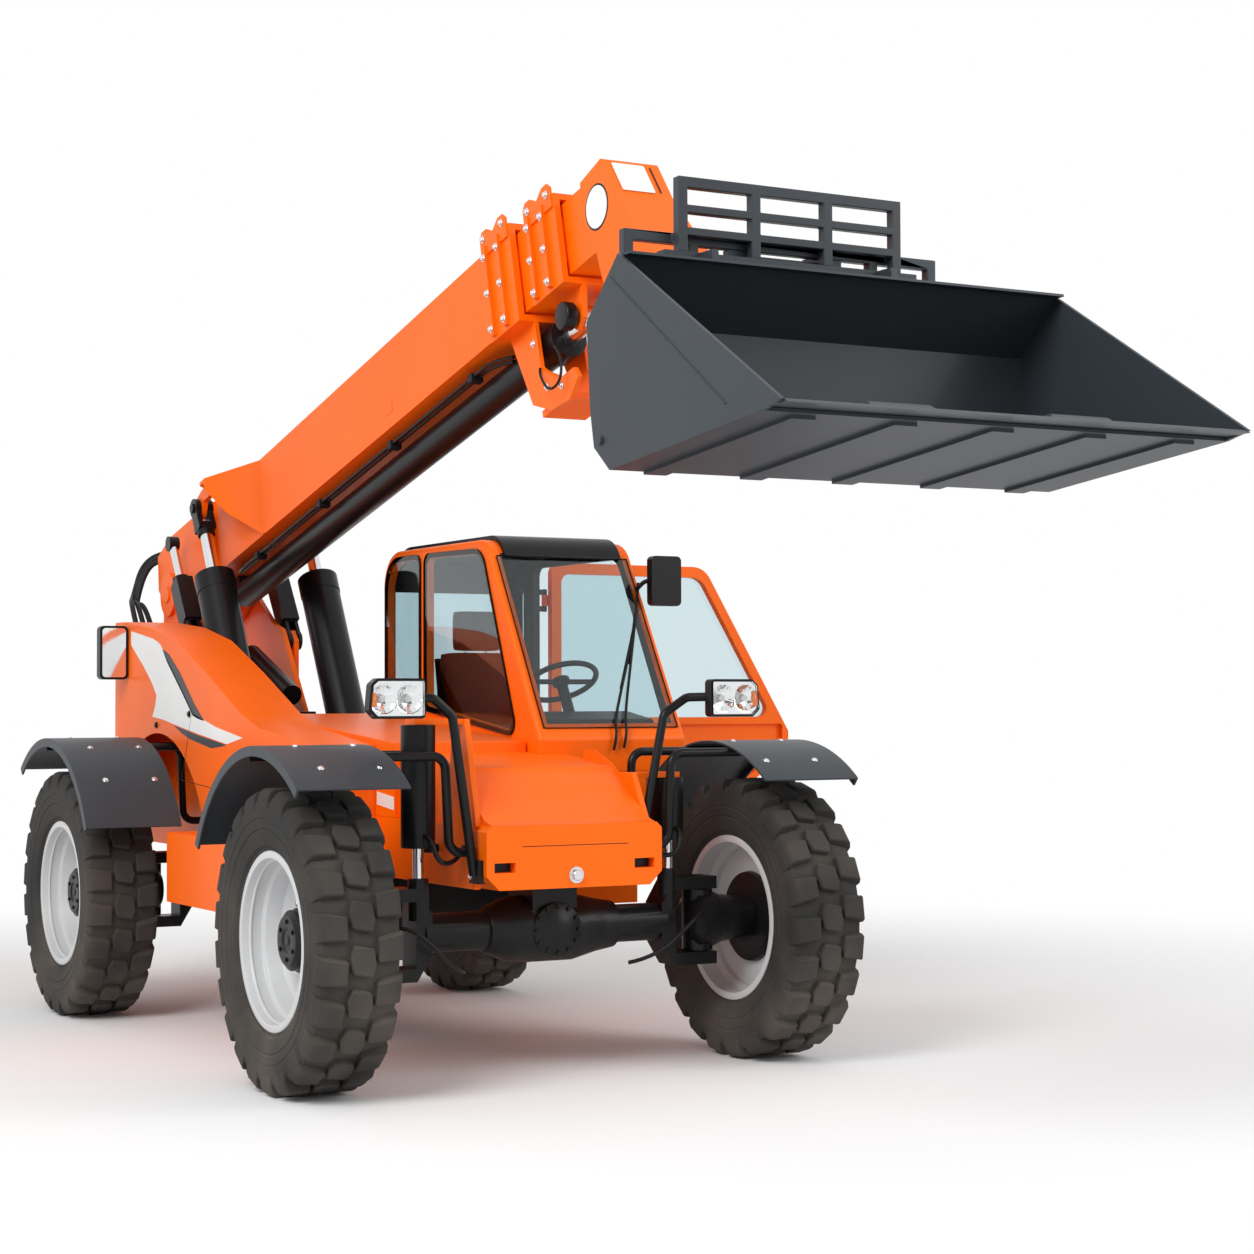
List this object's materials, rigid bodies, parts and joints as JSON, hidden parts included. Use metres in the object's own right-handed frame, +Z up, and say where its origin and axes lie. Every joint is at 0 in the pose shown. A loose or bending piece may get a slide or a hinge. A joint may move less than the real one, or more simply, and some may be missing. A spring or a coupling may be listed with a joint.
{
  "type": "telehandler with a telescopic boom and a bucket",
  "caption": "Four-wheel steered telehandler with a side cab, a three-section telescopic boom raised by twin cylinders, and a bucket on a tilting carriage.",
  "frame": {"origin": "centre of the belly plate's underside, on the centre plane midway between the axles", "axes": "+X forward, towards the bucket; +Y to the machine's left; +Z up. The ground is at Z = -0.45 m"},
  "size_m": [8.2322, 4.0246, 3.906],
  "materials": {
    "orange_paint": "gloss",
    "slate_paint": "satin",
    "black_paint": "satin",
    "rim_paint": "satin",
    "chrome_rod": "polished",
    "tyre_rubber": "matte",
    "cab_glass": "clear",
    "cab_trim": "matte",
    "seat_cover": "matte"
  },
  "bodies": {
    "chassis": {"rear_axle": "black_paint", "front_axle": "black_paint", "main_frame": "orange_paint", "belly_pan": "black_paint", "fenders": "slate_paint", "fender_arms": "black_paint", "engine_hood": "orange_paint", "side_boxes": "orange_paint", "rear_cover_left": "orange_paint", "engine_deck": "orange_paint", "front_cover": "orange_paint", "engine_block": "black_paint", "cab_shell": "orange_paint", "cab_roof": "black_paint", "windscreen": "cab_glass", "side_glass": "cab_glass", "seat": "seat_cover", "seat_base": "cab_trim", "dashboard": "cab_trim", "steering_wheel": "cab_trim", "head_lamps": "black_paint", "lamp_lenses": "cab_glass", "mirrors": "black_paint", "sway_barrels": "black_paint", "sway_rods": "chrome_rod", "exhaust": "black_paint"},
    "knuckle_front_left": {"knuckle_front_left": "black_paint"},
    "wheel_front_left": {"tyre_front_left": "tyre_rubber", "rim_front_left": "rim_paint", "hub_front_left": "black_paint"},
    "knuckle_front_right": {"knuckle_front_right": "black_paint"},
    "wheel_front_right": {"tyre_front_right": "tyre_rubber", "rim_front_right": "rim_paint", "hub_front_right": "black_paint"},
    "knuckle_rear_left": {"knuckle_rear_left": "black_paint"},
    "wheel_rear_left": {"tyre_rear_left": "tyre_rubber", "rim_rear_left": "rim_paint", "hub_rear_left": "black_paint"},
    "knuckle_rear_right": {"knuckle_rear_right": "black_paint"},
    "wheel_rear_right": {"tyre_rear_right": "tyre_rubber", "rim_rear_right": "rim_paint", "hub_rear_right": "black_paint"},
    "boom": {"boom_outer_section": "orange_paint", "telescope_barrel": "black_paint"},
    "boom_middle": {"boom_mid_section": "orange_paint", "telescope_rod": "chrome_rod"},
    "boom_nose": {"boom_inner_section": "orange_paint", "boom_head": "orange_paint"},
    "tool": {"carriage": "slate_paint", "load_backrest": "slate_paint", "bucket": "slate_paint"},
    "lift_barrels": {"lift_barrels": "black_paint"},
    "lift_rods": {"lift_rods": "chrome_rod"},
    "compensation_barrels": {"compensation_barrels": "black_paint"},
    "compensation_rods": {"compensation_rods": "chrome_rod"},
    "tilt_barrel": {"tilt_barrel": "black_paint"},
    "tilt_rod": {"tilt_rod": "chrome_rod"},
    "door": {"door_frame": "orange_paint", "door_glass": "cab_glass"}
  },
  "joints": [
    {"name": "steer_front_left", "type": "hinge", "parent": "chassis", "child": "knuckle_front_left", "pos_m": [1.55, 0.8, 0.195], "axis": [0, 0, 1], "range_deg": [-25, 25]},
    {"name": "roll_front_left", "type": "hinge", "parent": "knuckle_front_left", "child": "wheel_front_left", "pos_m": [1.55, 1.125, 0.195], "axis": [0, 1, 0], "continuous": true},
    {"name": "steer_front_right", "type": "hinge", "parent": "chassis", "child": "knuckle_front_right", "pos_m": [1.55, -0.8, 0.195], "axis": [0, 0, 1], "range_deg": [-25, 25]},
    {"name": "roll_front_right", "type": "hinge", "parent": "knuckle_front_right", "child": "wheel_front_right", "pos_m": [1.55, -1.125, 0.195], "axis": [0, 1, 0], "continuous": true},
    {"name": "steer_rear_left", "type": "hinge", "parent": "chassis", "child": "knuckle_rear_left", "pos_m": [-1.55, 0.8, 0.195], "axis": [0, 0, 1], "range_deg": [-25, 25]},
    {"name": "roll_rear_left", "type": "hinge", "parent": "knuckle_rear_left", "child": "wheel_rear_left", "pos_m": [-1.55, 1.125, 0.195], "axis": [0, 1, 0], "continuous": true},
    {"name": "steer_rear_right", "type": "hinge", "parent": "chassis", "child": "knuckle_rear_right", "pos_m": [-1.55, -0.8, 0.195], "axis": [0, 0, 1], "range_deg": [-25, 25]},
    {"name": "roll_rear_right", "type": "hinge", "parent": "knuckle_rear_right", "child": "wheel_rear_right", "pos_m": [-1.55, -1.125, 0.195], "axis": [0, 1, 0], "continuous": true},
    {"name": "boom_lift", "type": "hinge", "parent": "chassis", "child": "boom", "pos_m": [-2.85, 0, 1.85], "axis": [0, -1, 0], "range_deg": [-16.4, 56.6]},
    {"name": "boom_extend", "type": "slide", "parent": "boom", "child": "boom_middle", "axis": [0.9728, 0, 0.2317], "range_m": [0, 3]},
    {"name": "boom_extend_nose", "type": "slide", "parent": "boom_middle", "child": "boom_nose", "axis": [0.9728, 0, 0.2317], "range_m": [0, 3]},
    {"name": "tool_tilt", "type": "hinge", "parent": "boom_nose", "child": "tool", "pos_m": [3.35, 0, 2.3], "axis": [0, 1, 0], "range_deg": [-28, 100]},
    {"name": "lift_cylinder_swing", "type": "hinge", "parent": "chassis", "child": "lift_barrels", "pos_m": [-1.19, 0, 0.65], "axis": [0, -1, 0], "range_deg": [-2.25, 7.65]},
    {"name": "lift_cylinder_stroke", "type": "slide", "parent": "lift_barrels", "child": "lift_rods", "axis": [-0.4807, 0, 0.8769], "range_m": [-0.2281, 0.7861]},
    {"name": "compensation_swing", "type": "hinge", "parent": "chassis", "child": "compensation_barrels", "pos_m": [-2.238, 0, 1.565], "axis": [0, -1, 0], "range_deg": [-4.09, 13.99]},
    {"name": "compensation_stroke", "type": "slide", "parent": "compensation_barrels", "child": "compensation_rods", "axis": [-0.573, 0, 0.8196], "range_m": [-0.0831, 0.2856]},
    {"name": "tilt_cylinder_swing", "type": "hinge", "parent": "boom_nose", "child": "tilt_barrel", "pos_m": [2.499, 0, 3.001], "axis": [0, -1, 0], "range_deg": [-6.47, 1.85]},
    {"name": "tilt_cylinder_stroke", "type": "slide", "parent": "tilt_barrel", "child": "tilt_rod", "axis": [0.9042, 0, -0.427], "range_m": [-0.1096, 0.3902]},
    {"name": "door_hinge", "type": "hinge", "parent": "chassis", "child": "door", "pos_m": [-0.6, 1.121, 0.6653], "axis": [0, 0, -1], "range_deg": [0, 90]}
  ],
  "couplings": [
    {"joint": "steer_front_right", "follows": "steer_front_left", "ratio": 1},
    {"joint": "steer_rear_right", "follows": "steer_rear_left", "ratio": 1},
    {"joint": "boom_extend_nose", "follows": "boom_extend", "ratio": 1},
    {"joint": "lift_cylinder_swing", "follows": "boom_lift", "ratio": 0.1343},
    {"joint": "lift_cylinder_stroke", "follows": "boom_lift", "m_per_rad": 0.7953},
    {"joint": "compensation_swing", "follows": "boom_lift", "ratio": 0.2463},
    {"joint": "compensation_stroke", "follows": "boom_lift", "m_per_rad": 0.2886},
    {"joint": "tilt_cylinder_swing", "follows": "tool_tilt", "ratio": -0.0642},
    {"joint": "tilt_cylinder_stroke", "follows": "tool_tilt", "m_per_rad": 0.2233}
  ]
}
